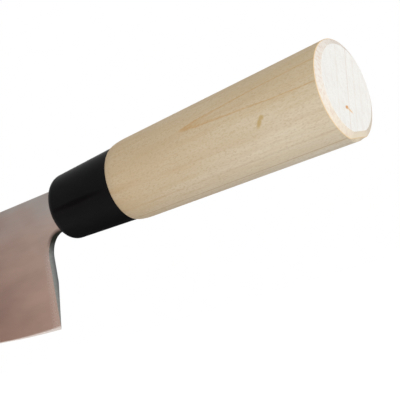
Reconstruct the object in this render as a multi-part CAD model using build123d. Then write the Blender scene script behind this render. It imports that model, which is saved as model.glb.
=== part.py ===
from build123d import *
import math
import os

# A single-bevel deba for a right-handed cook. It lies along X with its tip at -X and its spine up (+Z).
# Its flat back is on -Y and its bevel on +Y. The origin is under the middle of the knife, level with the
# lowest point of the edge.

# Overall sizes of the knife, in millimetres
blade_length = 150.0
heel_height = 46.3
blade_thickness = 2.4
heel_set_back = 17.1
handle_axis_height = 38.6
ferrule_length = 33.0
grip_length = 87.0

# Edge: it leaves the heel almost level and curls up to the tip in three tangent arcs
edge_start_angle = 0.9
flat_edge_radius = 560.0
flat_edge_turn = 7.1
belly_radius = 230.0
belly_turn = 9.0
tip_height = 37.0

# Spine: straight from the neck, then one long arc down to the tip
spine_rise_angle = 1.1
spine_straight_share = 0.5
tip_thickness = 1.7

# Heel and neck: the heel line leans forward and runs into the neck through a round throat
heel_rake_angle = 9.5
throat_radius = 9.0
neck_height = 14.4

# Bevel on the right-hand face, and the shallow hollow ground into the flat back
bevel_height = 16.0
hollow_depth = 0.25
hollow_edge_rim = 1.4
hollow_spine_rim = 1.9
hollow_station_shares = (0.02, 0.05, 0.14, 0.32, 0.50, 0.66, 0.80, 0.90)
hollow_depth_shares = (0.08, 0.60, 0.90, 1.00, 1.00, 0.85, 0.55, 0.20)

# Tang: the same sheet as the blade, carried on through the ferrule into the grip
tang_length = 84.0
tang_root_height = 13.0
tang_end_height = 7.0
tang_shoulder_inside = 2.0

# Ferrule: an oval moulded cap, a little slimmer in front, with a rounded nose
ferrule_rear_width = 18.8
ferrule_rear_height = 24.4
ferrule_front_width = 17.4
ferrule_front_height = 22.2
nose_radius = 4.7
ferrule_front_wall = 4.0
ferrule_side_wall = 2.6
slot_clearance = 0.2

# Grip: an oval stick, thicker at the butt, with a tenon that fills the ferrule
joint_width = 20.5
joint_height = 26.0
butt_width = 24.0
butt_height = 28.6
shoulder_length = 6.0
shoulder_turns = (0, 25, 55, 90)
butt_bevel_length = 1.1
butt_bevel_width = 1.9
butt_facet_inset = 0.5
butt_facet_length = 1.6
tenon_clearance = 0.1
tenon_end_gap = 0.3

# Bedding resin round the tang
bedding_wall = 0.8
bedding_end_gap = 3.0

# Cutting tools run this far past the stock
overrun = 3.0

# Stations along X, and the plane of the flat back
handle_length = grip_length + ferrule_length
overall_length = blade_length + heel_set_back + handle_length
butt_x = overall_length / 2
joint_x = butt_x - grip_length
ferrule_front_x = joint_x - ferrule_length
heel_x = ferrule_front_x - heel_set_back
slot_end_x = ferrule_front_x + ferrule_front_wall
tenon_front_x = slot_end_x + tenon_end_gap
tang_start_x = ferrule_front_x + tang_shoulder_inside
tang_end_x = ferrule_front_x + tang_length
flat_back_y = -blade_thickness / 2


def oval(x, width, height):
    """Oval section of the handle at station x."""
    plane = Plane(origin=(x, 0, handle_axis_height), x_dir=(0, 1, 0), z_dir=(1, 0, 0))
    return plane * Ellipse(width / 2, height / 2)


def oval_bar(start, end):
    """Straight taper between two oval sections."""
    return loft([start, end], ruled=True)


def blade_plane():
    """Drawing plane of the blade in its flat back: origin at the heel corner, x towards the tip, y up."""
    return Plane(origin=(heel_x, flat_back_y, 0), x_dir=(-1, 0, 0), z_dir=(0, 1, 0))


def edge_curves():
    """The cutting edge from the heel corner to the tip, as three arcs in the blade's drawing plane."""
    start_angle = math.radians(edge_start_angle)
    flat = JernArc((0, 0), (math.cos(start_angle), math.sin(start_angle)), flat_edge_radius, flat_edge_turn)
    belly = JernArc(flat @ 1, flat % 1, belly_radius, belly_turn)
    tip = TangentArc(belly @ 1, (blade_length, tip_height), tangent=belly % 1)
    return [flat, belly, tip]


def spine_rise(distance):
    """How much the straight spine climbs over a distance from the heel."""
    return distance * math.tan(math.radians(spine_rise_angle))


def spine_curves(back):
    """The spine from a point behind the heel to the tip: a straight line, then one tangent arc."""
    bend = blade_length * spine_straight_share
    rise_angle = math.radians(spine_rise_angle)
    bend_point = (bend, heel_height + spine_rise(bend))
    straight = Line((-back, heel_height + spine_rise(-back)), bend_point)
    curve = TangentArc(bend_point, (blade_length, tip_height),
                       tangent=(math.cos(rise_angle), math.sin(rise_angle)))
    return [straight, curve]


def neck_bottom():
    """Height of the neck's lower edge above the heel corner."""
    return heel_height - neck_height


def blade_outline():
    """Side view of blade and neck, closed at the back just inside the ferrule."""
    back = heel_set_back + tang_shoulder_inside
    straight, curve = spine_curves(back)
    rear = Line((-back, neck_bottom()), straight @ 0)
    heel_top = (-neck_bottom() * math.tan(math.radians(heel_rake_angle)), neck_bottom())
    heel = FilletPolyline((0, 0), heel_top, (-back, neck_bottom()), radius=throat_radius)
    return make_face([*edge_curves(), curve, straight, rear, *heel.edges()])


def bevel_cutter():
    """Waste outside the ground bevel: one wedge section carried along the edge and past both its ends."""
    arcs = edge_curves()
    start_run = Line(arcs[0] @ 0 - (arcs[0] % 0) * heel_set_back, arcs[0] @ 0)
    end_run = Line(arcs[2] @ 1, arcs[2] @ 1 + (arcs[2] % 1) * heel_set_back)
    path = blade_plane() * Wire([*start_run.edges(), *[a.edge() for a in arcs], *end_run.edges()])
    depth = blade_thickness + overrun
    run_in = bevel_height * depth / blade_thickness
    run_out = bevel_height * overrun / blade_thickness
    section_plane = Plane(origin=path @ 0, x_dir=(0, 1, 0), z_dir=path % 0)
    inward = 1 if section_plane.y_dir.Z > 0 else -1
    wedge = make_face(Polyline((-overrun, -inward * run_out), (depth, inward * run_in),
                               (depth, -inward * run_out), close=True))
    return sweep(section_plane * wedge, path=path)


def distal_taper(body):
    """Thins the blade evenly from the heel to the tip by planing its right-hand face."""
    angle = math.degrees(math.atan((blade_thickness - tip_thickness) / blade_length))
    face = Plane(origin=(heel_x, flat_back_y + blade_thickness, 0), x_dir=(1, 0, 0), z_dir=(0, 1, 0))
    return split(body, bisect_by=face.rotated((0, 0, angle)), keep=Keep.BOTTOM)


def hollow_cutter():
    """Shallow lens of metal ground out of the flat back, leaving a flat rim along the edge and the spine."""
    edge = Wire([curve.edge() for curve in edge_curves()])
    spine = Wire([curve.edge() for curve in spine_curves(0)])
    sections = []
    for station, depth in zip(hollow_station_shares, hollow_depth_shares):
        low = blade_plane().from_local_coords(edge @ station)
        high = blade_plane().from_local_coords(spine @ station)
        up = (high - low).normalized()
        plane = Plane(origin=low, x_dir=(0, 1, 0), z_dir=Vector(0, 1, 0).cross(up))
        bottom = hollow_edge_rim
        top = (high - low).length - hollow_spine_rim
        chord = Line((0, bottom), (0, top))
        crown = ThreePointArc((0, top), (depth * hollow_depth, (bottom + top) / 2), (0, bottom))
        sections.append(plane * make_face([chord, crown]))
    return loft(sections)


def tang():
    """Tapering tongue of the blade inside the handle."""
    centre = handle_axis_height
    root_rise = tang_root_height / 2
    end_rise = tang_end_height / 2
    outline = Polyline((tang_start_x, centre - root_rise), (tang_end_x, centre - end_rise),
                       (tang_end_x, centre + end_rise), (tang_start_x, centre + root_rise), close=True)
    side = Plane(origin=(0, flat_back_y, 0), x_dir=(1, 0, 0), z_dir=(0, -1, 0))
    return extrude(side * make_face(outline), amount=-blade_thickness)


def blade():
    """Blade, neck and tang in one piece of steel."""
    body = extrude(blade_plane() * blade_outline(), amount=blade_thickness)
    body = distal_taper(body)
    body = body - bevel_cutter()
    body = body - hollow_cutter()
    return body + tang()


def ferrule():
    """Moulded cap: oval outside with a rounded nose, a bore for the tenon and a slot for the neck."""
    front = oval(ferrule_front_x, ferrule_front_width, ferrule_front_height)
    rear = oval(joint_x, ferrule_rear_width, ferrule_rear_height)
    shell = oval_bar(front, rear)
    nose_edge = shell.edges().sort_by(Axis.X)[0]
    shell = fillet(nose_edge, radius=nose_radius)
    bore = extrude(oval(slot_end_x, bore_width(), bore_height()), amount=joint_x - slot_end_x + overrun)
    return shell - bore - neck_slot()


def bore_width():
    """Width of the oval bore behind the ferrule's front wall."""
    return ferrule_front_width - 2 * ferrule_side_wall


def bore_height():
    """Height of the oval bore behind the ferrule's front wall."""
    return ferrule_front_height - 2 * ferrule_side_wall


def neck_slot():
    """Slot through the ferrule's front wall, a clearance larger than the neck all round."""
    neck_top = heel_height + spine_rise(-heel_set_back)
    height = neck_top - neck_bottom() + 2 * slot_clearance
    place = Pos(ferrule_front_x + ferrule_front_wall / 2, 0, (neck_top + neck_bottom()) / 2)
    return place * Box(ferrule_front_wall + 2 * overrun, blade_thickness + 2 * slot_clearance, height)


def oval_between(x):
    """Oval of the grip's straight taper at station x, between the joint and the butt bevel."""
    run = grip_length - butt_bevel_length
    share = (x - joint_x) / run
    width = joint_width + (butt_width - joint_width) * share
    height = joint_height + (butt_height - joint_height) * share
    return width, height


def shoulder():
    """Soft shoulder of the grip: a quarter ellipse from the ferrule's surface up to the full oval."""
    sections = []
    for turn in shoulder_turns:
        x = joint_x + shoulder_length * (1 - math.cos(math.radians(turn)))
        share = math.sin(math.radians(turn))
        width, height = oval_between(x)
        start_width, start_height = oval_between(joint_x)
        width -= (start_width - ferrule_rear_width) * (1 - share)
        height -= (start_height - ferrule_rear_height) * (1 - share)
        sections.append(oval(x, width, height))
    return loft(sections)


def butt_facet(body):
    """Small flat where the lower rim of the butt was touched on the sanding belt."""
    rim = butt_height / 2
    inner = rim - butt_bevel_width - butt_facet_inset
    drop = rim - inner
    corner = (butt_x, 0, handle_axis_height - inner)
    face = Plane(origin=corner, x_dir=(0, 1, 0), z_dir=(drop, 0, -butt_facet_length))
    return split(body, bisect_by=face, keep=Keep.BOTTOM)


def grip():
    """Wooden grip: tapered oval body with a soft shoulder, bevelled butt, tenon and tang hole."""
    body_start = joint_x + shoulder_length
    bevel_start = butt_x - butt_bevel_length
    body = oval_bar(oval(body_start, *oval_between(body_start)), oval(bevel_start, butt_width, butt_height))
    flat_width = butt_width - 2 * butt_bevel_width
    flat_height = butt_height - 2 * butt_bevel_width
    bevel = oval_bar(oval(bevel_start, butt_width, butt_height), oval(butt_x, flat_width, flat_height))
    outside = butt_facet(shoulder() + body + bevel)
    return outside + tenon() - tang_hole(tenon_front_x - overrun)


def tenon():
    """Oval tongue of the grip inside the ferrule."""
    width = bore_width() - 2 * tenon_clearance
    height = bore_height() - 2 * tenon_clearance
    return extrude(oval(tenon_front_x, width, height), amount=joint_x - tenon_front_x)


def tang_height(x):
    """Height of the tapering tang at station x."""
    share = (x - tang_start_x) / (tang_end_x - tang_start_x)
    return tang_root_height + (tang_end_height - tang_root_height) * share


def tang_hole(start_x):
    """Tapered slot for the tang, a bedding wall larger than the tang all round."""
    end_x = tang_end_x + bedding_end_gap
    ends = []
    for x in (start_x, end_x):
        plane = Plane(origin=(x, 0, handle_axis_height), x_dir=(0, 1, 0), z_dir=(1, 0, 0))
        ends.append(plane * Rectangle(blade_thickness + 2 * bedding_wall, tang_height(x) + 2 * bedding_wall))
    return loft(ends, ruled=True)


def tang_bedding():
    """Resin that fills the slot round the tang."""
    return tang_hole(tenon_front_x) - tang()


parts = {
    "blade": blade(),
    "ferrule": ferrule(),
    "grip": grip(),
    "tang_bedding": tang_bedding(),
}

os.makedirs("parts", exist_ok=True)
for name, shape in parts.items():
    export_step(shape, f"parts/{name}.step")
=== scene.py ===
import math

import bmesh
import bpy
import numpy as np
from mathutils import Matrix, Vector


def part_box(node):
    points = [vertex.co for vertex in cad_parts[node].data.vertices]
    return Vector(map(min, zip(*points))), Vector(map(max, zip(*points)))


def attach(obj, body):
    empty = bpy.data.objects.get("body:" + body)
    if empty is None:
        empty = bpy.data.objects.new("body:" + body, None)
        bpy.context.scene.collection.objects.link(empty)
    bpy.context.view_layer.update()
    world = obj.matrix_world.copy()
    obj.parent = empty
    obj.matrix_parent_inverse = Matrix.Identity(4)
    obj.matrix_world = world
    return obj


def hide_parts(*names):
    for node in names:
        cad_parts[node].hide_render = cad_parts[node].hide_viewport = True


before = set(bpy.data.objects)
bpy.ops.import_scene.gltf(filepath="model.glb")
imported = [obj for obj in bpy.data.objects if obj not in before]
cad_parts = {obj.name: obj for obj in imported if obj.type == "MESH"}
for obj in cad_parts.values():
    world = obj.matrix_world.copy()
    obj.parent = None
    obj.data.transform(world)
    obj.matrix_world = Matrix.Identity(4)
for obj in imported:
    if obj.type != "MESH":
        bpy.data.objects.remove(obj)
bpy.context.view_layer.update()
scene = bpy.context.scene
mm = 0.001

# Where the pieces meet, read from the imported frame. X runs from the tip (-X) to the butt (+X), Z is up,
# the hollow flat back of the blade faces -Y and its bevel +Y.
ferrule_low, ferrule_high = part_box("ferrule")
grip_low, grip_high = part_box("grip")
tip_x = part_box("blade")[0].x
ferrule_front_x = ferrule_low.x
joint_x = ferrule_high.x
butt_x = grip_high.x
axis_z = (ferrule_low.z + ferrule_high.z) / 2


# The photographer's camera: close behind the butt and a little below the handle, on the flat-back side.
# Its place, aim and tilt come from the handle's two ovals and the outlines of grip, ferrule and heel.
camera_place = Vector((284.54, -231.58, -2.04)) * mm
camera_aim = Vector((95.05, -13.52, 23.31)) * mm
camera_tilt = math.radians(-16.71)
camera_view_angle = math.radians(22.073)

camera_data = bpy.data.cameras.new("photo_camera")
camera_data.angle = camera_view_angle
camera_data.clip_start = 5 * mm
camera = bpy.data.objects.new("photo_camera", camera_data)
scene.collection.objects.link(camera)
looking = (camera_aim - camera_place).to_track_quat("-Z", "Y").to_matrix().to_4x4()
camera.matrix_world = Matrix.Translation(camera_place) @ looking @ Matrix.Rotation(camera_tilt, 4, "Z")
scene.camera = camera


# Studio: a wide white floor well below the knife, because the photograph looks up at the handle, and a
# white room. Both show white to the camera and in reflections, and the knife's shadow falls on the floor.
floor_drop = 120 * mm
floor_radius = 6.0
floor_rim_points = 96
floor_colour = "#e7e7e7"
# How brightly the floor shows to the camera, and how much light floor and room give to the knife.
floor_glow = 0.68
floor_fill = 0.13
room_fill = 0.32


def linear(code):
    """Turns an sRGB hex colour into the linear RGBA that Blender's sockets take."""
    parts = [int(code[i:i + 2], 16) / 255 for i in (1, 3, 5)]
    return [c / 12.92 if c <= 0.04045 else ((c + 0.055) / 1.055) ** 2.4 for c in parts] + [1.0]


def add_node(tree, kind, inputs=None, stops=(), **settings):
    """Adds a node with its settings. An input takes a value, a link from a socket, or a link from the first
    output that another node has in use. Stops are a colour ramp's places and greys."""
    node = tree.nodes.new(kind)
    for name, value in settings.items():
        setattr(node, name, value)
    for key, value in (inputs or {}).items():
        if isinstance(value, bpy.types.Node):
            value = next(socket for socket in value.outputs if socket.enabled)
        if isinstance(value, bpy.types.NodeSocket):
            tree.links.new(value, node.inputs[key])
        else:
            node.inputs[key].default_value = value
    for number, (place, grey) in enumerate(stops):
        stop = node.color_ramp.elements[number] if number < 2 else node.color_ramp.elements.new(place)
        stop.position = place
        stop.color = (grey, grey, grey, 1)
    return node


def new_material(name):
    """An empty node material and its node tree."""
    material = bpy.data.materials.new(name)
    material.use_nodes = True
    material.node_tree.nodes.clear()
    return material, material.node_tree


def seen_or_mirrored(tree):
    """1 for rays from the camera, a reflection or through glass, and 0 for light that falls on things."""
    path = add_node(tree, "ShaderNodeLightPath")
    near = add_node(tree, "ShaderNodeMath", {0: path.outputs["Is Camera Ray"],
                                             1: path.outputs["Is Glossy Ray"]}, operation="MAXIMUM")
    return add_node(tree, "ShaderNodeMath", {0: near, 1: path.outputs["Is Transmission Ray"]},
                    operation="MAXIMUM")


def stage_piece(name, corners, material):
    """A flat sheet of the studio, not a piece of the knife."""
    mesh = bpy.data.meshes.new(name)
    mesh.from_pydata(corners, [], [list(range(len(corners)))])
    mesh.materials.append(material)
    sheet = bpy.data.objects.new(name, mesh)
    scene.collection.objects.link(sheet)
    return sheet


room = bpy.data.worlds.new("white_room")
room.use_nodes = True
tree = room.node_tree
tree.nodes.clear()
room_level = add_node(tree, "ShaderNodeMapRange", {"Value": seen_or_mirrored(tree), "To Min": room_fill})
room_white = add_node(tree, "ShaderNodeBackground", {"Color": (1, 1, 1, 1), "Strength": room_level})
add_node(tree, "ShaderNodeOutputWorld", {"Surface": room_white})
scene.world = room
scene.view_settings.view_transform = "Standard"

floor_paint, tree = new_material("White floor paint")
floor_matt = add_node(tree, "ShaderNodeBsdfDiffuse", {"Color": linear(floor_colour)})
floor_level = add_node(tree, "ShaderNodeMapRange", {"Value": seen_or_mirrored(tree),
                                                    "To Min": floor_fill, "To Max": floor_glow})
floor_light = add_node(tree, "ShaderNodeEmission", {"Strength": floor_level})
floor_both = add_node(tree, "ShaderNodeAddShader", {0: floor_matt, 1: floor_light})
add_node(tree, "ShaderNodeOutputMaterial", {"Surface": floor_both})
floor_turn = np.linspace(0, 2 * np.pi, floor_rim_points, endpoint=False)
floor_rim = np.stack([np.cos(floor_turn) * floor_radius, np.sin(floor_turn) * floor_radius,
                      np.full(floor_rim_points, -floor_drop)], axis=1)
stage_piece("floor", floor_rim.tolist(), floor_paint)


# Lamps: a soft box from the camera's right, which lights the butt most, the side of the grip less and the
# blade least, and soft light straight down. A warm brown card left of the camera shows only in the polished
# surfaces.
key_offset = Vector((2.35, -1.9, 0.10))
key_size = 0.8
key_watts = 85.0
top_offset = Vector((0.1, 0.45, 1.0))
top_strength = 0.48
top_softness = math.radians(8)
card_centre = (-0.62, -0.50)
card_half_width = 0.5
card_top = 1.0
# The card's lower and upper colour, and the heights between which one gives way to the other.
card_low_colour = "#e0b19d"
card_high_colour = "#cfd0d2"
card_blend = (70 * mm, 200 * mm)

key_lamp = bpy.data.lights.new("key_lamp", "AREA")
key_lamp.size = key_size
key_lamp.energy = key_watts
key_box = bpy.data.objects.new("key_lamp", key_lamp)
scene.collection.objects.link(key_box)
key_aim = Vector((joint_x, 0, axis_z))
key_turn = (-key_offset).to_track_quat("-Z", "Y").to_matrix().to_4x4()
key_box.matrix_world = Matrix.Translation(key_aim + key_offset) @ key_turn

top_lamp = bpy.data.lights.new("top_lamp", "SUN")
top_lamp.energy = top_strength
top_lamp.angle = top_softness
top_sun = bpy.data.objects.new("top_lamp", top_lamp)
top_sun.rotation_euler = (-top_offset).to_track_quat("-Z", "Y").to_euler()
scene.collection.objects.link(top_sun)

card_paper, tree = new_material("Warm studio card")
card_place = add_node(tree, "ShaderNodeTexCoord").outputs["Object"]
card_height = add_node(tree, "ShaderNodeSeparateXYZ", {0: card_place}).outputs[2]
card_share = add_node(tree, "ShaderNodeMapRange", {"Value": card_height, "From Min": card_blend[0],
                                                   "From Max": card_blend[1]})
card_tone = add_node(tree, "ShaderNodeMix", {0: card_share, 6: linear(card_low_colour),
                                             7: linear(card_high_colour)}, data_type="RGBA")
card_light = add_node(tree, "ShaderNodeEmission", {"Color": card_tone.outputs["Result"]})
add_node(tree, "ShaderNodeOutputMaterial", {"Surface": card_light})
card_middle = Vector((*card_centre, 0))
card_side = Vector((-card_centre[1], card_centre[0], 0)).normalized() * card_half_width
card_low = Vector((0, 0, -floor_drop))
card_high = Vector((0, 0, card_top))
card = stage_piece("warm_card", [card_middle - card_side + card_low, card_middle + card_side + card_low,
                                 card_middle + card_side + card_high, card_middle - card_side + card_high],
                   card_paper)
card.visible_camera = False
card.visible_diffuse = False
card.visible_shadow = False


# Grip: a turned oval stick of ho wood, the Japanese magnolia, sanded bare. It swells softly from the
# ferrule, thickens to the butt, and ends in a bevelled rim with one small flat where the sanding belt
# touched it.
grip_turns = 256
joint_width = 20.5 * mm
joint_height = 26.0 * mm
ferrule_width = 18.8 * mm
ferrule_height = ferrule_high.z - ferrule_low.z
butt_width = grip_high.y - grip_low.y
butt_height = 28.6 * mm
shoulder_length = 6 * mm
rim_length = 1.1 * mm
rim_width = 1.9 * mm
facet_drop = 2.4 * mm
facet_length = 1.6 * mm
tenon_width = 12.0 * mm
tenon_height = 16.8 * mm
tenon_front_x = grip_low.x
shoulder_rings = 15
taper_rings = 90
rim_rings = 7
butt_rings = 24
grip_crease = 20
merge_distance = 0.001 * mm


def ring_profile(stations, turns):
    """Points of an oval tube: each station (x, half width a, half height b) gives the oval y = a sin t,
    z = b cos t."""
    x, half_width, half_height = [np.asarray(column)[:, None] for column in zip(*stations)]
    t = np.linspace(0, 2 * np.pi, turns, endpoint=False)[None, :]
    return np.stack([x + 0 * t, half_width * np.sin(t), axis_z + half_height * np.cos(t)], axis=2)


def grid_quads(rows, columns, wrap_rows=False):
    """Index quads that join a grid's closed rows, and the last row to the first if asked."""
    i = np.arange(rows if wrap_rows else rows - 1)[:, None]
    j = np.arange(columns)[None, :]
    i_next = (i + 1) % rows
    j_next = (j + 1) % columns
    corners = [i * columns + j, i_next * columns + j, i_next * columns + j_next, i * columns + j_next]
    return np.stack([np.broadcast_to(c, (i.size, j.size)) for c in corners], axis=2).reshape(-1, 4)


def surface(name, points, quads, materials, crease_angle, finish=None, marks=None):
    """A smooth mesh object from arrays of points and quads. Points that coincide are merged, faces may each
    have a finish, the number of their material, points may have marks, values that a material reads by
    name, and creases stay sharp where faces meet at more than an angle."""
    mesh = bpy.data.meshes.new(name)
    mesh.from_pydata(points.reshape(-1, 3).tolist(), [], quads.tolist())
    for material in materials:
        mesh.materials.append(material)
    if finish is not None:
        mesh.polygons.foreach_set("material_index", finish)
    for mark, values in (marks or {}).items():
        numbers = mesh.attributes.new(mark, "FLOAT", "POINT").data
        numbers.foreach_set("value", values.astype(np.float32).ravel())
    build = bmesh.new()
    build.from_mesh(mesh)
    bmesh.ops.remove_doubles(build, verts=build.verts, dist=merge_distance)
    build.to_mesh(mesh)
    build.free()
    mesh.shade_smooth()
    mesh.set_sharp_from_angle(angle=math.radians(crease_angle))
    piece = bpy.data.objects.new(name, mesh)
    scene.collection.objects.link(piece)
    return piece


def grip_half_sizes(x):
    """Half width and half height of the grip's straight taper at station x."""
    share = (x - joint_x) / (butt_x - rim_length - joint_x)
    return ((joint_width + (butt_width - joint_width) * share) / 2,
            (joint_height + (butt_height - joint_height) * share) / 2)


def grip_stations():
    """From the tenon's closed front to the closed butt, with the shoulder as a quarter ellipse."""
    stations = [(tenon_front_x, 0, 0), (tenon_front_x, tenon_width / 2, tenon_height / 2),
                (joint_x, tenon_width / 2, tenon_height / 2)]
    for turn in np.linspace(0, np.pi / 2, shoulder_rings):
        x = joint_x + shoulder_length * (1 - math.cos(turn))
        wide, tall = grip_half_sizes(x)
        short = 1 - math.sin(turn)
        stations.append((x, wide - (joint_width - ferrule_width) / 2 * short,
                         tall - (joint_height - ferrule_height) / 2 * short))
    for x in np.linspace(joint_x + shoulder_length, butt_x - rim_length, taper_rings)[1:]:
        stations.append((x, *grip_half_sizes(x)))
    for share in np.linspace(0, 1, rim_rings)[1:]:
        stations.append((butt_x - rim_length * (1 - share), butt_width / 2 - rim_width * share,
                         butt_height / 2 - rim_width * share))
    wide, tall = stations[-1][1:]
    for share in np.linspace(1, 0, butt_rings)[1:]:
        stations.append((butt_x, wide * share, tall * share))
    return stations


def press_facet(points):
    """Lifts what lies under the facet's sloping plane at the lower rim of the butt up on to that plane."""
    plane_z = axis_z - butt_height / 2 + facet_drop + (points[:, :, 0] - butt_x) * facet_drop / facet_length
    points[:, :, 2] = np.maximum(points[:, :, 2], plane_z)
    return points


# Growth rings as (depth, width, darkness). Depth is in mm across the stick, square to the rings, from its
# middle at the butt, and rises towards the bevel side. The rings waver a little along the stick.
ring_across = (0.012, 0.926, -0.377)
ring_marks = ((-8.8, 0.8, 0.15), (-6.3, 0.6, 0.1), (-3.9, 0.7, 0.25), (-1.9, 0.5, 0.1), (0.4, 0.35, 0.9),
              (3.4, 0.6, 0.3), (6.0, 0.8, 0.15), (8.9, 0.5, 0.3), (11.6, 0.6, 0.2))
ring_fades = (0.8, 0.35)
ring_span = 14.0
ring_wave_sizes = (22, 7, 7)
ring_wave = 0.08
# One more ring just touches the side, so that it shows there as a V. It is broken up by the fibres.
v_ring_mark = (0, 0.07, 0.8)
v_ring_depth = -12.0
v_ring_span = 0.5
v_ring_breaks = (0.3, 0.6)
v_ring_least = 0.5
# Layers of grain over the pale wood, as (size of a grain in mm along X, Y and Z, where it starts and is
# full in the noise, colour): cloudy warm areas, soft streaks, fibres, and the short flecks of the rays.
# Real fibres and flecks are about 0.05 mm wide, too fine to show, so they are drawn as coarse as they need
# to be seen.
wood_layers = (((34, 5, 5), 0.40, 0.75, "#d6c6ab"), ((24, 1.5, 1.5), 0.46, 0.72, "#d8c7a9"),
               ((6.0, 0.45, 0.45), 0.42, 0.85, "#d9cab1"), ((0.9, 0.36, 0.36), 0.48, 0.82, "#cab597"))
end_layers = (((9, 1.2, 4), 0.40, 0.80, "#e6e3de"), ((2, 0.25, 0.5), 0.50, 0.85, "#ddd7cf"))
rim_layers = (((2, 0.35, 0.9), 0.45, 0.75, "#d2bfae"),)
wood_pale = "#e1d5bf"
wood_ring = "#a97d4e"
wood_v_ring = "#c0965f"
wood_fleck = "#c0a574"
side_ring_share = 0.8
wood_roughness = 0.6
wood_gloss = 0.25
fibre_relief = (0.25, 0.03 * mm)
# Painted shade on the side, from the ferrule to a little before the butt, where it differs with the height:
# darker near the ferrule and on the upper side by the butt.
painted_shade_near_ferrule = "#e5d9c8"
painted_shade_butt_high = "#ebe3d5"
painted_shade_butt_low = "#ffffff"
painted_shade_end_x = butt_x - 20 * mm
painted_shade_heights = (axis_z + 6 * mm, axis_z - 12 * mm)
# The end grain of the butt and its sanded rim, with the stations between which one finish takes over from
# the other: the warm line, the rim and the end grain.
wood_end = "#ecebe7"
end_ring = "#c4a790"
end_ring_share = 0.45
wood_rim_high = "#ded8d0"
wood_rim_low = "#dfd4c2"
wood_facet = "#e3d6c0"
wood_rim_line = "#dcbf92"
rim_tone_heights = (axis_z - 12 * mm, axis_z + 4 * mm)
rim_start_x = butt_x - rim_length
rim_line_stations = (rim_start_x - 0.04 * mm, rim_start_x)
rim_stations = (rim_start_x + 0.05 * mm, rim_start_x + 0.15 * mm)
end_stations = (butt_x - 0.03 * mm, butt_x - 0.01 * mm)
# Marks of this stick as (middle, half sizes, turn): the two ends of the tan fleck on its side, the pin knot
# on the butt with its tail, and the flat that the sanding belt left on the rim.
fleck_mark = ((butt_x - 22.2 * mm, -11.5 * mm, axis_z - 1.3 * mm), (1.8 * mm, 6 * mm, 0.75 * mm),
              (0, -0.88, 0))
fleck_top = ((butt_x - 20.95 * mm, -11.6 * mm, axis_z - 0.2 * mm), (0.9 * mm, 6 * mm, 0.7 * mm), (0, 0, 0))
knot_mark = ((butt_x, -2.78 * mm, axis_z - 5.16 * mm), (3 * mm, 0.7 * mm, 0.55 * mm), (0, 0, 0))
knot_brown = "#cf9450"
tail_mark = ((butt_x, -1.8 * mm, axis_z - 6.05 * mm), (3 * mm, 1.4 * mm, 0.3 * mm), (-0.745, 0, 0))
tail_tan = "#e3c193"
facet_mark = ((butt_x, 0, axis_z - 13.3 * mm), (5 * mm, 6 * mm, 1.5 * mm), (0, 0, 0))
mark_fade = (1.2, 0.5)


def grained(tree, place, body, layers):
    """The body colour with layers of noise mixed in, each stretched to the size of its grains."""
    for size, low, high, colour in layers:
        stretched = add_node(tree, "ShaderNodeMapping", {"Vector": place,
                                                         "Scale": [1 / (s * mm) for s in size]})
        grain = add_node(tree, "ShaderNodeTexNoise", {"Vector": stretched, "Scale": 1.0, "Detail": 3.0})
        share = add_node(tree, "ShaderNodeMapRange", {"Value": grain, "From Min": low, "From Max": high})
        body = add_node(tree, "ShaderNodeMix", {0: share, 6: body, 7: linear(colour)}, data_type="RGBA")
    return body, grain


def spot(tree, place, mark):
    """1 in the middle of an ellipsoid and 0 outside it, by the distance in units of its half sizes."""
    middle, half_sizes, turn = mark
    inside = add_node(tree, "ShaderNodeMapping", {"Vector": place, "Location": middle, "Scale": half_sizes,
                                                  "Rotation": turn}, vector_type="TEXTURE")
    reach = add_node(tree, "ShaderNodeVectorMath", {0: inside}, operation="LENGTH")
    return add_node(tree, "ShaderNodeMapRange", {"Value": reach, "From Min": mark_fade[0],
                                                 "From Max": mark_fade[1]})


def ring_stops(marks, span):
    """Ramp stops of ring marks over depths from -span to span: each is dark at its depth m, with a slow
    fade from m - 0.8 w on one side and a fast one to m + 0.35 w on the other."""
    stops = []
    for depth, width, darkness in marks:
        mark = (depth - ring_fades[0] * width, 0), (depth, darkness), (depth + ring_fades[1] * width, 0)
        stops += [((place + span) / (2 * span), grey) for place, grey in mark]
    return stops


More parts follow.
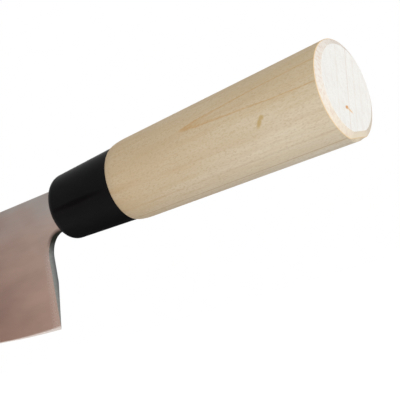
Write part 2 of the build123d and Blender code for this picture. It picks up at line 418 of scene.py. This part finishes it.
def ho_wood():
    """Sanded ho wood: pale tan, close and straight of grain, with thin brown growth rings and no finish.
    Painted shade darkens the side near the ferrule and on top by the butt. The end grain of the butt is
    nearly white, and its sanded rim has a thin warm line where it meets the side."""
    material, tree = new_material("Sanded ho wood")
    place = add_node(tree, "ShaderNodeTexCoord").outputs["Object"]
    x, _, z = add_node(tree, "ShaderNodeSeparateXYZ", {0: place}).outputs
    from_butt = add_node(tree, "ShaderNodeMapping", {"Vector": place, "Scale": (1 / mm, 1 / mm, 1 / mm),
                                                     "Location": (-butt_x / mm, 0, -axis_z / mm)})
    straight = add_node(tree, "ShaderNodeVectorMath", {0: from_butt, 1: ring_across},
                        operation="DOT_PRODUCT")
    waves = add_node(tree, "ShaderNodeMapping", {"Vector": from_butt,
                                                 "Scale": [1 / s for s in ring_wave_sizes]})
    wave = add_node(tree, "ShaderNodeTexNoise", {"Vector": waves, "Scale": 1.0, "Detail": 5.0,
                                                 "Roughness": 0.6})
    lift = add_node(tree, "ShaderNodeMapRange", {"Value": wave, "To Min": -ring_wave, "To Max": ring_wave})
    depth = add_node(tree, "ShaderNodeMath", {0: straight, 1: lift}, operation="ADD")
    deep = add_node(tree, "ShaderNodeMapRange", {"Value": depth, "From Min": -ring_span,
                                                 "From Max": ring_span})
    rings = add_node(tree, "ShaderNodeValToRGB", {"Fac": deep}, stops=ring_stops(ring_marks, ring_span))
    near = add_node(tree, "ShaderNodeMapRange", {"Value": depth, "From Min": v_ring_depth - v_ring_span,
                                                 "From Max": v_ring_depth + v_ring_span})
    v_ring = add_node(tree, "ShaderNodeValToRGB", {"Fac": near},
                      stops=ring_stops((v_ring_mark,), v_ring_span))

    # Painted shade on the side: darker near the ferrule and along the top by the butt.
    lengthwise = add_node(tree, "ShaderNodeMapRange", {"Value": x, "From Min": joint_x,
                                                       "From Max": painted_shade_end_x})
    lowered = add_node(tree, "ShaderNodeMapRange", {"Value": z, "From Min": painted_shade_heights[0],
                                                    "From Max": painted_shade_heights[1]})
    butt_painted_shade = add_node(tree, "ShaderNodeMix", {0: lowered, 6: linear(painted_shade_butt_high),
                                                 7: linear(painted_shade_butt_low)}, data_type="RGBA")
    side_painted_shade = add_node(tree, "ShaderNodeMix", {0: lengthwise, 6: linear(painted_shade_near_ferrule), 7: butt_painted_shade},
                    data_type="RGBA")
    side, fibres = grained(tree, place, linear(wood_pale), wood_layers)
    side = add_node(tree, "ShaderNodeMix", {0: 1.0, 6: side, 7: side_painted_shade}, data_type="RGBA",
                    blend_type="MULTIPLY")
    faint = add_node(tree, "ShaderNodeMath", {0: rings, 1: side_ring_share}, operation="MULTIPLY")
    strong = add_node(tree, "ShaderNodeMapRange", {"Value": fibres, "From Min": v_ring_breaks[0],
                                                   "From Max": v_ring_breaks[1], "To Min": v_ring_least})
    broken = add_node(tree, "ShaderNodeMath", {0: v_ring, 1: strong}, operation="MULTIPLY")
    for share, colour in ((faint, wood_ring), (broken, wood_v_ring),
                          (spot(tree, place, fleck_mark), wood_fleck),
                          (spot(tree, place, fleck_top), wood_fleck)):
        side = add_node(tree, "ShaderNodeMix", {0: share, 6: side, 7: linear(colour)}, data_type="RGBA")

    end, _ = grained(tree, place, linear(wood_end), end_layers)
    rim_height = add_node(tree, "ShaderNodeMapRange", {"Value": z, "From Min": rim_tone_heights[0],
                                                       "From Max": rim_tone_heights[1]})
    rim = add_node(tree, "ShaderNodeMix", {0: rim_height, 6: linear(wood_rim_low), 7: linear(wood_rim_high)},
                   data_type="RGBA")
    rim, _ = grained(tree, place, rim, rim_layers)
    rim = add_node(tree, "ShaderNodeMix", {0: spot(tree, place, facet_mark), 6: rim, 7: linear(wood_facet)},
                   data_type="RGBA")
    quiet = add_node(tree, "ShaderNodeMath", {0: rings, 1: end_ring_share}, operation="MULTIPLY")
    for share, colour in ((quiet, end_ring), (spot(tree, place, knot_mark), knot_brown),
                          (spot(tree, place, tail_mark), tail_tan)):
        end = add_node(tree, "ShaderNodeMix", {0: share, 6: end, 7: linear(colour)}, data_type="RGBA")

    body = side
    for (low, high), colour in ((rim_line_stations, linear(wood_rim_line)), (rim_stations, rim),
                                (end_stations, end)):
        share = add_node(tree, "ShaderNodeMapRange", {"Value": x, "From Min": low, "From Max": high})
        body = add_node(tree, "ShaderNodeMix", {0: share, 6: body, 7: colour}, data_type="RGBA")
    relief = add_node(tree, "ShaderNodeBump", {"Height": fibres, "Strength": fibre_relief[0],
                                               "Distance": fibre_relief[1]})
    shader = add_node(tree, "ShaderNodeBsdfPrincipled", {"Base Color": body, "Roughness": wood_roughness,
                                                         "Specular IOR Level": wood_gloss, "Normal": relief})
    add_node(tree, "ShaderNodeOutputMaterial", {"Surface": shader})
    return material


grip_points = press_facet(ring_profile(grip_stations(), grip_turns))
grip = surface("wooden_grip", grip_points, grid_quads(grip_points.shape[0], grip_turns), [ho_wood()],
               grip_crease)
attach(grip, "root")
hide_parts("grip")


# Ferrule: an oval cap moulded in black resin and glued over the tenon. It is a little slimmer in front, its
# nose is rounded over, and the neck of the blade enters through a slot in its front wall.
ferrule_front_width = 17.4 * mm
ferrule_front_height = 22.2 * mm
nose_radius = 4.7 * mm
front_wall = 4.0 * mm
bore_width = 12.2 * mm
bore_height = 17.0 * mm
slot_width = 2.8 * mm
slot_height = 14.47 * mm
slot_centre_z = 38.935 * mm
# How finely the ferrule's grid is drawn: points along the slot's ends and sides, rings along the side and
# the nose, and how much closer the nose's rings lie at its rounded rim.
slot_end_points = 20
slot_side_points = 108
ferrule_side_rings = 30
nose_rings = 36
nose_ease = 1.8
halvings = 40
ferrule_crease = 30


def ferrule_half_sizes(x):
    """Half width and half height of the ferrule's straight taper at station x."""
    share = (x - ferrule_front_x) / (joint_x - ferrule_front_x)
    return ((ferrule_front_width + (ferrule_width - ferrule_front_width) * share) / 2,
            (ferrule_front_height + (ferrule_height - ferrule_front_height) * share) / 2)


def nose_depth(y, z):
    """How far the rounded nose lies behind the front plane at a point (y, z from the axis). The inset d is
    the one at which the point is on the oval with half sizes a - d and b - d, found by halving an interval,
    and the depth is r - sqrt(r^2 - (r - d)^2)."""
    wide, tall = ferrule_half_sizes(ferrule_front_x + nose_radius)
    low = np.zeros_like(y)
    high = np.full_like(y, nose_radius)
    for _ in range(halvings):
        inset = (low + high) / 2
        inside = (y / (wide - inset)) ** 2 + (z / (tall - inset)) ** 2 < 1
        low = np.where(inside, inset, low)
        high = np.where(inside, high, inset)
    return nose_radius - np.sqrt(nose_radius ** 2 - (nose_radius - (low + high) / 2) ** 2)


def ferrule_grid():
    """The ferrule as one closed loop of oval and slot-shaped rings: side, rear face, bore, front wall,
    slot, nose. The slot's ring is y = w clip(sin t / sin c), z = h clip(cos t / cos c), a rectangle with
    its corners at c."""
    nose_end_x = ferrule_front_x + nose_radius
    wide, tall = ferrule_half_sizes(nose_end_x)
    corner = math.atan2(slot_width / 2 / wide, slot_height / 2 / tall)
    top = np.linspace(-corner, corner, slot_end_points, endpoint=False)
    side = np.linspace(corner, np.pi - corner, slot_side_points, endpoint=False)
    t = np.concatenate([top, side, top + np.pi, side + np.pi])
    slot_y = slot_width / 2 * np.clip(np.sin(t) / math.sin(corner), -1, 1)
    slot_z = slot_height / 2 * np.clip(np.cos(t) / math.cos(corner), -1, 1) + slot_centre_z - axis_z

    def oval_ring(x, half_width, half_height):
        return np.stack([np.full_like(t, x), half_width * np.sin(t), axis_z + half_height * np.cos(t)],
                        axis=1)

    slot_end_x = ferrule_front_x + front_wall
    stations = np.linspace(nose_end_x, joint_x, ferrule_side_rings)
    rings = [oval_ring(x, *ferrule_half_sizes(x)) for x in stations]
    rings.append(oval_ring(joint_x, bore_width / 2, bore_height / 2))
    rings.append(oval_ring(slot_end_x, bore_width / 2, bore_height / 2))
    rings.append(np.stack([np.full_like(t, slot_end_x), slot_y, axis_z + slot_z], axis=1))
    for step in np.linspace(0, 1, nose_rings, endpoint=False):
        share = 1 - (1 - step) ** nose_ease
        y = slot_y + (wide * np.sin(t) - slot_y) * share
        z = slot_z + (tall * np.cos(t) - slot_z) * share
        rings.append(np.stack([ferrule_front_x + nose_depth(y, z), y, axis_z + z], axis=1))
    return np.stack(rings)


# The resin's uneven layers, a painted dark reflection as a line along the side, given as the wood's marks
# are, and the heights between which the polish gives way to a matt underside darkened by painted shade. The
# speckle of the finest layer is drawn coarser than real, so that it shows.
resin_black = "#101011"
resin_layers = (((12, 5, 5), 0.35, 0.75, "#141415"), ((0.5, 0.5, 0.5), 0.50, 0.80, "#111112"))
resin_haze = (0.34, 0.40)
resin_gloss = 0.02
resin_relief = (0.1, 0.01 * mm)
painted_reflection_streak = ((joint_x - 17 * mm, -9 * mm, axis_z - 0.8 * mm), (14 * mm, 4 * mm, 1.0 * mm), (0, 0, 0))
streak_reflection_black = "#070708"
shade_below_heights = (axis_z - 6 * mm, axis_z - 11 * mm)
painted_shade_black = "#0d0d0e"
underside_roughness = 1.0


def black_resin():
    """Moulded black resin: a soft gloss from a polished mould, matt underneath and darkened there by painted
    shade, with one faint darker line along the side that is a painted reflection."""
    material, tree = new_material("Moulded black resin")
    place = add_node(tree, "ShaderNodeTexCoord").outputs["Object"]
    height = add_node(tree, "ShaderNodeSeparateXYZ", {0: place}).outputs[2]
    body, pits = grained(tree, place, linear(resin_black), resin_layers)
    shaded_below = add_node(tree, "ShaderNodeMapRange", {"Value": height, "From Min": shade_below_heights[0],
                                                 "From Max": shade_below_heights[1]})
    # Painted reflection as a dark streak along the side, and painted shade on the underside.
    for share, colour in ((spot(tree, place, painted_reflection_streak), streak_reflection_black), (shaded_below, painted_shade_black)):
        body = add_node(tree, "ShaderNodeMix", {0: share, 6: body, 7: linear(colour)}, data_type="RGBA")
    haze = add_node(tree, "ShaderNodeMapRange", {"Value": pits, "To Min": resin_haze[0],
                                                 "To Max": resin_haze[1]})
    haze = add_node(tree, "ShaderNodeMix", {0: shaded_below, 2: haze, 3: underside_roughness})
    relief = add_node(tree, "ShaderNodeBump", {"Height": pits, "Strength": resin_relief[0],
                                               "Distance": resin_relief[1]})
    shader = add_node(tree, "ShaderNodeBsdfPrincipled", {"Base Color": body, "Roughness": haze,
                                                         "Specular IOR Level": resin_gloss,
                                                         "Normal": relief})
    add_node(tree, "ShaderNodeOutputMaterial", {"Surface": shader})
    return material


ferrule_points = ferrule_grid()
ferrule = surface("resin_ferrule", ferrule_points,
                  grid_quads(ferrule_points.shape[0], ferrule_points.shape[1], wrap_rows=True),
                  [black_resin()], ferrule_crease)
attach(ferrule, "root")
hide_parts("ferrule")


# Blade: one piece of stainless sheet with its tang. The back is ground slightly hollow inside a flat rim,
# the right-hand side carries one wide bevel, and the heel and throat are left as they were cut.
blade_thickness = 2.4 * mm
tip_thickness = 1.7 * mm
blade_length = 150 * mm
heel_x = tip_x + blade_length
heel_height = 46.3 * mm
spine_rise = math.tan(math.radians(1.1))
spine_bend = 75 * mm
tip_height = 37 * mm
heel_rake = math.radians(9.5)
throat_radius = 9 * mm
neck_bottom_z = 31.9 * mm
throat_corner_x = -neck_bottom_z * math.tan(heel_rake)
throat_run = throat_radius * math.tan((math.pi / 2 - heel_rake) / 2)
neck_back = 19.1 * mm
tang_length = 84 * mm
tang_root_height = 13 * mm
tang_end_height = 7 * mm
bevel_height = 16 * mm
hollow_depth = 0.25 * mm
hollow_edge_rim = 1.4 * mm
hollow_spine_rim = 1.9 * mm
hollow_heel_rim = 1.9 * mm
hollow_ease = 7 * mm
hollow_end = 0.93
hollow_fade = 0.4
edge_angle = math.radians(0.9)
edge_arcs = ((560 * mm, math.radians(7.1)), (230 * mm, math.radians(9.0)))


def tangent_arc(start, angle, end):
    """Radius and turn of the arc that leaves start at an angle and passes through end: with chord c at an
    angle a to the start, the radius is c / (2 sin a) and the turn 2 a. Both are negative where the arc
    bends down."""
    chord = np.subtract(end, start)
    lean = math.atan2(chord[1], chord[0]) - angle
    return np.hypot(*chord) / (2 * math.sin(lean)), 2 * lean


def arc_height(x, start, angle, radius):
    """Height at x of the arc through start: z = z0 + r cos(angle) - sqrt(r^2 - (x - x0 + r sin(angle))^2),
    with the root's sign that of the radius."""
    reach = np.clip(x - start[0] + radius * math.sin(angle), -abs(radius), abs(radius))
    return start[1] + radius * math.cos(angle) - math.copysign(1, radius) * np.sqrt(radius ** 2 - reach ** 2)


def edge_chain():
    """The edge's arcs from the heel to the tip, each as (start, angle, radius, end angle)."""
    point = (0.0, 0.0)
    angle = edge_angle
    chain = []
    for radius, turn in edge_arcs:
        chain.append((point, angle, radius, angle + turn))
        point = (point[0] + radius * (math.sin(angle + turn) - math.sin(angle)),
                 point[1] - radius * (math.cos(angle + turn) - math.cos(angle)))
        angle += turn
    radius, turn = tangent_arc(point, angle, (blade_length, tip_height))
    chain.append((point, angle, radius, angle + turn))
    return chain


def edge_height(x):
    """Height of the cutting edge at a distance x from the heel towards the tip."""
    height = x * math.tan(edge_angle)
    for start, angle, radius, _ in edge_chain():
        height = np.where(x > start[0], arc_height(x, start, angle, radius), height)
    return height


def edge_distance(x, z):
    """Distance inwards from the edge: r minus the distance to the centre of the arc whose fan of normals
    holds the point, and past the heel and the tip the distance from the tangent there."""
    distance = z * math.cos(edge_angle) - x * math.sin(edge_angle)
    for start, angle, radius, _ in edge_chain():
        centre_x = start[0] - radius * math.sin(angle)
        centre_z = start[1] + radius * math.cos(angle)
        fan = np.arctan2(x - centre_x, centre_z - z)
        distance = np.where(fan > angle, radius - np.hypot(x - centre_x, z - centre_z), distance)
    end = edge_chain()[-1][3]
    past_tip = (z - tip_height) * math.cos(end) - (x - blade_length) * math.sin(end)
    return np.where(fan > end, past_tip, distance)


def spine_height(x):
    """Height of the spine: a straight rise from the neck, then one arc down to the tip."""
    bend = (spine_bend, heel_height + spine_bend * spine_rise)
    angle = math.atan(spine_rise)
    radius, _ = tangent_arc(bend, angle, (blade_length, tip_height))
    return np.where(x < spine_bend, heel_height + x * spine_rise, arc_height(x, bend, angle, radius))


def lower_height(x):
    """Height of the lower outline: edge, heel line z = -x / tan(rake), round throat
    z = zc + sqrt(r^2 - (x - xc)^2), then the neck."""
    arc_end_x = throat_corner_x - throat_run
    arc_start_x = throat_corner_x + throat_run * math.sin(heel_rake)
    reach = np.clip(x - arc_end_x, 0, throat_radius)
    throat = neck_bottom_z - throat_radius + np.sqrt(throat_radius ** 2 - reach ** 2)
    height = np.where(x < 0, -x / math.tan(heel_rake), edge_height(x))
    height = np.where(x < arc_start_x, throat, height)
    return np.where(x < arc_end_x, neck_bottom_z, height)


# The stretches of the blade's columns, from the tip to the neck's back end: the distances from the heel at
# which they meet, and how many columns each has. Near the tip they draw closer with the square of the step.
tip_stretch = 20 * mm
column_bounds = (blade_length - tip_stretch, 8 * mm, 0, -6 * mm, -14 * mm)
tip_columns = 60
column_counts = (240, 50, 60, 50)
neck_columns = 8


def blade_columns():
    """Places along the blade as distances from the heel, closer at the tip, the heel and the throat."""
    columns = [blade_length - np.linspace(0, 1, tip_columns, endpoint=False) ** 2 * tip_stretch]
    for start, end, count in zip(column_bounds[:-1], column_bounds[1:], column_counts):
        columns.append(np.linspace(start, end, count, endpoint=False))
    return np.concatenate(columns + [np.linspace(column_bounds[-1], -neck_back, neck_columns)])


def thinning(x):
    """How much the sheet has thinned at a distance x from the heel: a straight taper to the tip."""
    return np.clip(x, 0, None) / blade_length * (blade_thickness - tip_thickness)


def bevel_reach(x):
    """How far from the edge the bevel meets the thinned flat: h (1 - thinning / t)."""
    return bevel_height * (1 - thinning(x) / blade_thickness)


def bevel_line(x, low, high):
    """Height at each x where the bevel meets the thinned flat, found by halving an interval."""
    limit = bevel_reach(x)
    bottom, top = low.copy(), high.copy()
    for _ in range(halvings):
        middle = (bottom + top) / 2
        inside = edge_distance(x, middle) < limit
        bottom = np.where(inside, middle, bottom)
        top = np.where(inside, top, middle)
    return (bottom + top) / 2


def hollow(x, z, low, high):
    """Depth of the hollow back: d (1 - q^2) across the blade, eased in from the heel's rim and out
    towards the tip."""
    q = np.clip((2 * z - low - high) / (high - low), -1, 1)
    behind_heel = (x + z * math.tan(heel_rake)) * math.cos(heel_rake) - hollow_heel_rim
    from_heel = 1 - (1 - np.clip(behind_heel / hollow_ease, 0, 1)) ** 2
    to_tip = np.clip((hollow_end * blade_length - x) / (hollow_fade * blade_length), 0, 1)
    return hollow_depth * (1 - q ** 2) * from_heel * to_tip * (2 - to_tip)


def rows_between(low, high, count, last=False):
    """Heights from low to high for each column, as one row of the result for each column."""
    share = np.linspace(0, 1, count, endpoint=last)[None, :]
    return low[:, None] + (high - low)[:, None] * share


# Rows of the grid on the flat, the bevel, each rim of the back and its hollow, and the least shares of the
# blade's height that they keep where it narrows to the tip.
flat_rows = 34
bevel_rows = 30
rim_rows = 6
hollow_rows = 72
least_share = 0.02
edge_rim_share = 0.3
spine_rim_share = 0.6
blade_crease = 4


def blade_grid():
    """Rings round the blade from the tip to the neck. Each runs down the right side by the flat and the
    bevel, and up the back by the edge rim, the hollow and the spine rim."""
    x = blade_columns()
    low = lower_height(x)
    high = spine_height(x)
    tall = high - low
    least = tall * least_share
    bevel_z = np.clip(bevel_line(x, low, high), low + least, high - least)
    edge_rim = np.clip(edge_height(x) + hollow_edge_rim, low + least, low + edge_rim_share * tall)
    spine_rim = np.maximum(high - hollow_spine_rim, low + spine_rim_share * tall)
    right_z = np.concatenate([rows_between(high, bevel_z, flat_rows),
                              rows_between(bevel_z, low, bevel_rows, last=True)], axis=1)
    left_z = np.concatenate([rows_between(low, edge_rim, rim_rows),
                             rows_between(edge_rim, spine_rim, hollow_rows),
                             rows_between(spine_rim, high, rim_rows, last=True)], axis=1)
    column_x = x[:, None]
    bevel = blade_thickness * np.clip(edge_distance(column_x, right_z), 0, None) / bevel_height
    right_y = -blade_thickness / 2 + np.minimum(blade_thickness - thinning(column_x), bevel)
    hollow_low = (edge_height(x) + hollow_edge_rim)[:, None]
    left_y = -blade_thickness / 2 + hollow(column_x, left_z, hollow_low, spine_rim[:, None])
    y = np.concatenate([right_y, left_y], axis=1)
    z = np.concatenate([right_z, left_z], axis=1)
    return np.stack([heel_x - column_x + 0 * y, y, z], axis=2)


def tang_rings(neck_ring):
    """The neck's last ring drawn in to the tang's root, carried on to its end, and closed there."""
    share = (neck_ring[:, 2] - neck_bottom_z) / (neck_ring[:, 2].max() - neck_bottom_z)
    rings = []
    for x, height in ((heel_x + neck_back, tang_root_height),
                      (ferrule_front_x + tang_length, tang_end_height)):
        ring = neck_ring.copy()
        ring[:, 0] = x
        ring[:, 2] = axis_z + (share - 0.5) * height
        rings.append(ring)
    end = rings[-1].copy()
    end[:, 1:] = (0, axis_z)
    return np.stack(rings + [end])


# The cloudy areas of the grinding and its fine lines. The real lines are about 0.02 mm apart, too fine to
# show, so they are drawn ten times as coarse.
steel_layers = (((26, 14, 9), 0.35, 0.70, "#aaa6a2"), ((30, 0.35, 0.22), 0.45, 0.95, "#bab6b2"))
steel_satin = (0.25, 0.35)
steel_relief = (0.1, 0.01 * mm)
# The back turns greyer between two heights, a painted reflection, and darkens away from the heel along a
# slanting direction, a painted shade.
steel_low = "#c0bcb6"
painted_reflection_grey = "#b3bbbb"
painted_reflection_heights = (34 * mm, 41 * mm)
shade_slant = (1, 0, 0.3)
shade_start = 12 * mm
shade_full = -24 * mm
shade_tint = "#dbd6d8"
# The land: its width at the edge, how much it narrows for each mm of height, its soft inner border, its
# upper end and how strongly it shows.
land_width = 5.0 * mm
land_narrowing = 0.07
land_fade = 2.6 * mm
land_top = 28.5 * mm
land_top_fade = 4 * mm
land_share = 0.9
# What covers the satin, as (colour, roughness).
bevel_finish = ("#a8a6a4", 0.20)
land_finish = ("#c2cbce", 0.24)
# The whetted edge is pale from the whetting and paler still as a painted highlight.
whetted_and_highlight_finish = ("#e3e2df", 0.55)
# Painted shade on the sheet along the throat and the neck, where the blade meets the ferrule: how far it
# reaches from the cut, and the heights between which it sets in.
throat_centre = (heel_x - throat_corner_x + throat_run, -blade_thickness / 2, neck_bottom_z - throat_radius)
throat_shade_width = 1.5 * mm
throat_shade_heights = (28.0 * mm, 31.0 * mm)
throat_shade_black = "#20201c"


def satin_steel():
    """Stainless steel ground to a fine satin along the blade. The back is greyer near the spine, a painted
    reflection, and darkens away from the heel, a painted shade. The land that a stone rubbed flat along the
    heel of the back is brighter, the cutting edge is matt and pale from the last whetting and paler still as
    a painted highlight, and the bevel is ground finer and darker than the flat above it."""
    material, tree = new_material("Satin ground stainless steel")
    place = add_node(tree, "ShaderNodeTexCoord").outputs["Object"]
    height = add_node(tree, "ShaderNodeSeparateXYZ", {0: place}).outputs[2]
    back, bevel, whetted_highlight = [add_node(tree, "ShaderNodeAttribute", attribute_name=mark).outputs["Fac"]
                            for mark in ("back", "bevel", "whetted_highlight")]
    # Painted reflection: the back turns greyer towards the spine.
    painted_reflection = add_node(tree, "ShaderNodeMapRange", {"Value": height, "From Min": painted_reflection_heights[0],
                                                  "From Max": painted_reflection_heights[1], "To Max": back})
    body = add_node(tree, "ShaderNodeMix", {0: painted_reflection, 6: linear(steel_low), 7: linear(painted_reflection_grey)},
                    data_type="RGBA")
    body, lines = grained(tree, place, body, steel_layers)
    # Painted shade: the back darkens away from the heel along a slant.
    slanted = add_node(tree, "ShaderNodeVectorMath", {0: place, 1: shade_slant}, operation="DOT_PRODUCT")
    blade_painted_shade = add_node(tree, "ShaderNodeMapRange", {"Value": slanted.outputs["Value"],
                                                    "From Min": shade_start, "From Max": shade_full,
                                                    "To Max": back})
    body = add_node(tree, "ShaderNodeMix", {0: blade_painted_shade, 6: body, 7: linear(shade_tint)}, data_type="RGBA",
                    blend_type="MULTIPLY")
    satin = add_node(tree, "ShaderNodeMapRange", {"Value": lines, "To Min": steel_satin[0],
                                                  "To Max": steel_satin[1]})

    off_heel = (-math.cos(heel_rake), 0, math.sin(heel_rake) + land_narrowing)
    heel_line = heel_x * math.cos(heel_rake)
    inwards = add_node(tree, "ShaderNodeVectorMath", {0: place, 1: off_heel}, operation="DOT_PRODUCT")
    rubbed = add_node(tree, "ShaderNodeMapRange", {"Value": inwards.outputs["Value"],
                                                   "From Min": land_width - heel_line,
                                                   "From Max": land_width - land_fade - heel_line})
    low = add_node(tree, "ShaderNodeMapRange", {"Value": height, "From Min": land_top,
                                                "From Max": land_top - land_top_fade, "To Max": land_share})
    rubbed_low = add_node(tree, "ShaderNodeMath", {0: rubbed, 1: low}, operation="MULTIPLY")
    land = add_node(tree, "ShaderNodeMath", {0: rubbed_low, 1: back}, operation="MULTIPLY")
    for share, (colour, sheen) in ((bevel, bevel_finish), (land, land_finish), (whetted_highlight, whetted_and_highlight_finish)):
        body = add_node(tree, "ShaderNodeMix", {0: share, 6: body, 7: linear(colour)}, data_type="RGBA")
        satin = add_node(tree, "ShaderNodeMix", {0: share, 2: satin, 3: sheen})

    # Painted shade along the throat and the neck by the ferrule.
    # Behind the throat's centre the neck's lower edge runs straight, so there only the height counts: X and
    # Y stop at the centre's, and Z never reaches its limit.
    before_neck = add_node(tree, "ShaderNodeVectorMath", {0: place, 1: (*throat_centre[:2], blade_length)},
                           operation="MINIMUM")
    off_throat = add_node(tree, "ShaderNodeVectorMath", {0: before_neck, 1: throat_centre},
                          operation="DISTANCE")
    beside = add_node(tree, "ShaderNodeMapRange", {"Value": off_throat.outputs["Value"],
                                                   "From Min": throat_radius + throat_shade_width,
                                                   "From Max": throat_radius})
    ferrule_shaded = add_node(tree, "ShaderNodeMapRange", {"Value": height, "From Min": throat_shade_heights[0],
                                                    "From Max": throat_shade_heights[1], "To Max": beside})
    body = add_node(tree, "ShaderNodeMix", {0: ferrule_shaded, 6: body, 7: linear(throat_shade_black)}, data_type="RGBA")
    relief = add_node(tree, "ShaderNodeBump", {"Height": lines, "Strength": steel_relief[0],
                                               "Distance": steel_relief[1]})
    shader = add_node(tree, "ShaderNodeBsdfPrincipled", {"Base Color": body, "Metallic": 1.0,
                                                         "Roughness": satin, "Normal": relief})
    add_node(tree, "ShaderNodeOutputMaterial", {"Surface": shader})
    return material


# The cut edge's grey, its lines across the sheet, drawn coarser than real so that they show, the depths in
# the sheet between which the smooth cut turns to torn steel, darkened also by painted shade, and the heights
# between which painted shade covers the throat by the ferrule.
cut_grey = "#7b7c79"
cut_layers = (((0.4, 3, 0.4), 0.35, 0.75, "#888985"),)
torn_and_shaded_depths = (-0.6 * mm, 0.9 * mm)
torn_and_shaded_steel = "#5f6162"
cut_shade_heights = (25.3 * mm, 30.0 * mm)
cut_shade_black = "#282a24"
cut_roughness = 0.42
cut_shade_roughness = 0.8
cut_gloss = 0.02


def cut_steel():
    """Steel as the press left it on the heel and in the throat: dull and grey, with lines across the sheet,
    darker where it tore and as painted shade towards the far side, and nearly black by the ferrule as
    painted shade, where it no longer shines as metal."""
    material, tree = new_material("Blanked steel edge")
    place = add_node(tree, "ShaderNodeTexCoord").outputs["Object"]
    _, across, height = add_node(tree, "ShaderNodeSeparateXYZ", {0: place}).outputs
    # Painted shade: darker across the sheet towards the torn side, and nearly black by the ferrule.
    torn_and_shaded = add_node(tree, "ShaderNodeMapRange", {"Value": across, "From Min": torn_and_shaded_depths[0],
                                                 "From Max": torn_and_shaded_depths[1]})
    ferrule_shaded = add_node(tree, "ShaderNodeMapRange", {"Value": height, "From Min": cut_shade_heights[0],
                                                    "From Max": cut_shade_heights[1]})
    body, _ = grained(tree, place, linear(cut_grey), cut_layers)
    for share, colour in ((torn_and_shaded, torn_and_shaded_steel), (ferrule_shaded, cut_shade_black)):
        body = add_node(tree, "ShaderNodeMix", {0: share, 6: body, 7: linear(colour)}, data_type="RGBA")
    bare = add_node(tree, "ShaderNodeMapRange", {"Value": ferrule_shaded, "To Min": 1.0, "To Max": 0.0})
    satin = add_node(tree, "ShaderNodeMapRange", {"Value": ferrule_shaded, "To Min": cut_roughness,
                                                  "To Max": cut_shade_roughness})
    shader = add_node(tree, "ShaderNodeBsdfPrincipled", {"Base Color": body, "Metallic": bare,
                                                         "Roughness": satin,
                                                         "Specular IOR Level": cut_gloss})
    add_node(tree, "ShaderNodeOutputMaterial", {"Surface": shader})
    return material


# How strongly the bevel shows, the whetted edge's width at the heel and its least width farther on, over
# what length it narrows, where it ends and how softly in shares of its width, and how near the lines count
# as theirs.
bevel_share = 0.85
whetted_heel_width = 1.2 * mm
whetted_least_width = 0.25 * mm
whetted_length = 25 * mm
whetted_end = 1.25
whetted_blend = 0.625
heel_margin = 0.1 * mm
bevel_margin = 0.01 * mm


def steel_marks(points):
    """Marks of the steel's finishes at the points of the rings: 1 on the back, the bevel's share on the
    bevel, which is the lower part of each ring's right side, and the share of the whetted edge, whose width
    falls off from the heel as e^(-x / length)."""
    from_heel = heel_x - points[..., 0]
    height = points[..., 2]
    back = np.arange(points.shape[1]) >= flat_rows + bevel_rows
    above_edge = edge_distance(from_heel, height)
    width = whetted_heel_width * np.exp(-np.clip(from_heel, 0, None) / whetted_length)
    width = np.clip(width, whetted_least_width, None)
    whetted_highlight = np.clip((whetted_end - above_edge / width) / whetted_blend, 0, 1) * (from_heel > -heel_margin)
    bevel = (above_edge < bevel_reach(from_heel) - bevel_margin) & ~back
    bevel &= (from_heel + height * math.tan(heel_rake)) > -heel_margin
    return {"back": back + 0 * from_heel, "whetted_highlight": whetted_highlight, "bevel": bevel_share * bevel}


blade_points = blade_grid()
blade_points = np.concatenate([blade_points, tang_rings(blade_points[-1])])
rings, around = blade_points.shape[:2]
cut_edge = np.zeros((rings - 1, around), int)
cut_edge[:, flat_rows + bevel_rows - 1] = 1
blade = surface("steel_blade", blade_points, grid_quads(rings, around), [satin_steel(), cut_steel()],
                blade_crease, cut_edge.ravel(), steel_marks(blade_points))
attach(blade, "root")
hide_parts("blade")


# Bedding: the amber resin poured round the tang, which holds the blade in the handle. It is sealed inside
# the grip, keeps its shape from the frame and doesn't show.
bedding_amber = "#8a6a3c"
bedding_layers = (((5, 4, 4), 0.35, 0.75, "#b08f5a"), ((0.6, 0.6, 0.6), 0.60, 0.80, "#c9ad7a"))
bedding_roughness = 0.4
bedding_relief = (0.2, 0.05 * mm)


def bedding_resin():
    """Cast amber resin, cloudy and with small bubbles."""
    material, tree = new_material("Cast bedding resin")
    place = add_node(tree, "ShaderNodeTexCoord").outputs["Object"]
    body, bubbles = grained(tree, place, linear(bedding_amber), bedding_layers)
    relief = add_node(tree, "ShaderNodeBump", {"Height": bubbles, "Strength": bedding_relief[0],
                                               "Distance": bedding_relief[1]})
    shader = add_node(tree, "ShaderNodeBsdfPrincipled", {"Base Color": body, "Roughness": bedding_roughness,
                                                         "Normal": relief})
    add_node(tree, "ShaderNodeOutputMaterial", {"Surface": shader})
    return material


bedding_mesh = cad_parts["tang_bedding"].data
bedding_mesh.materials.clear()
bedding_mesh.materials.append(bedding_resin())
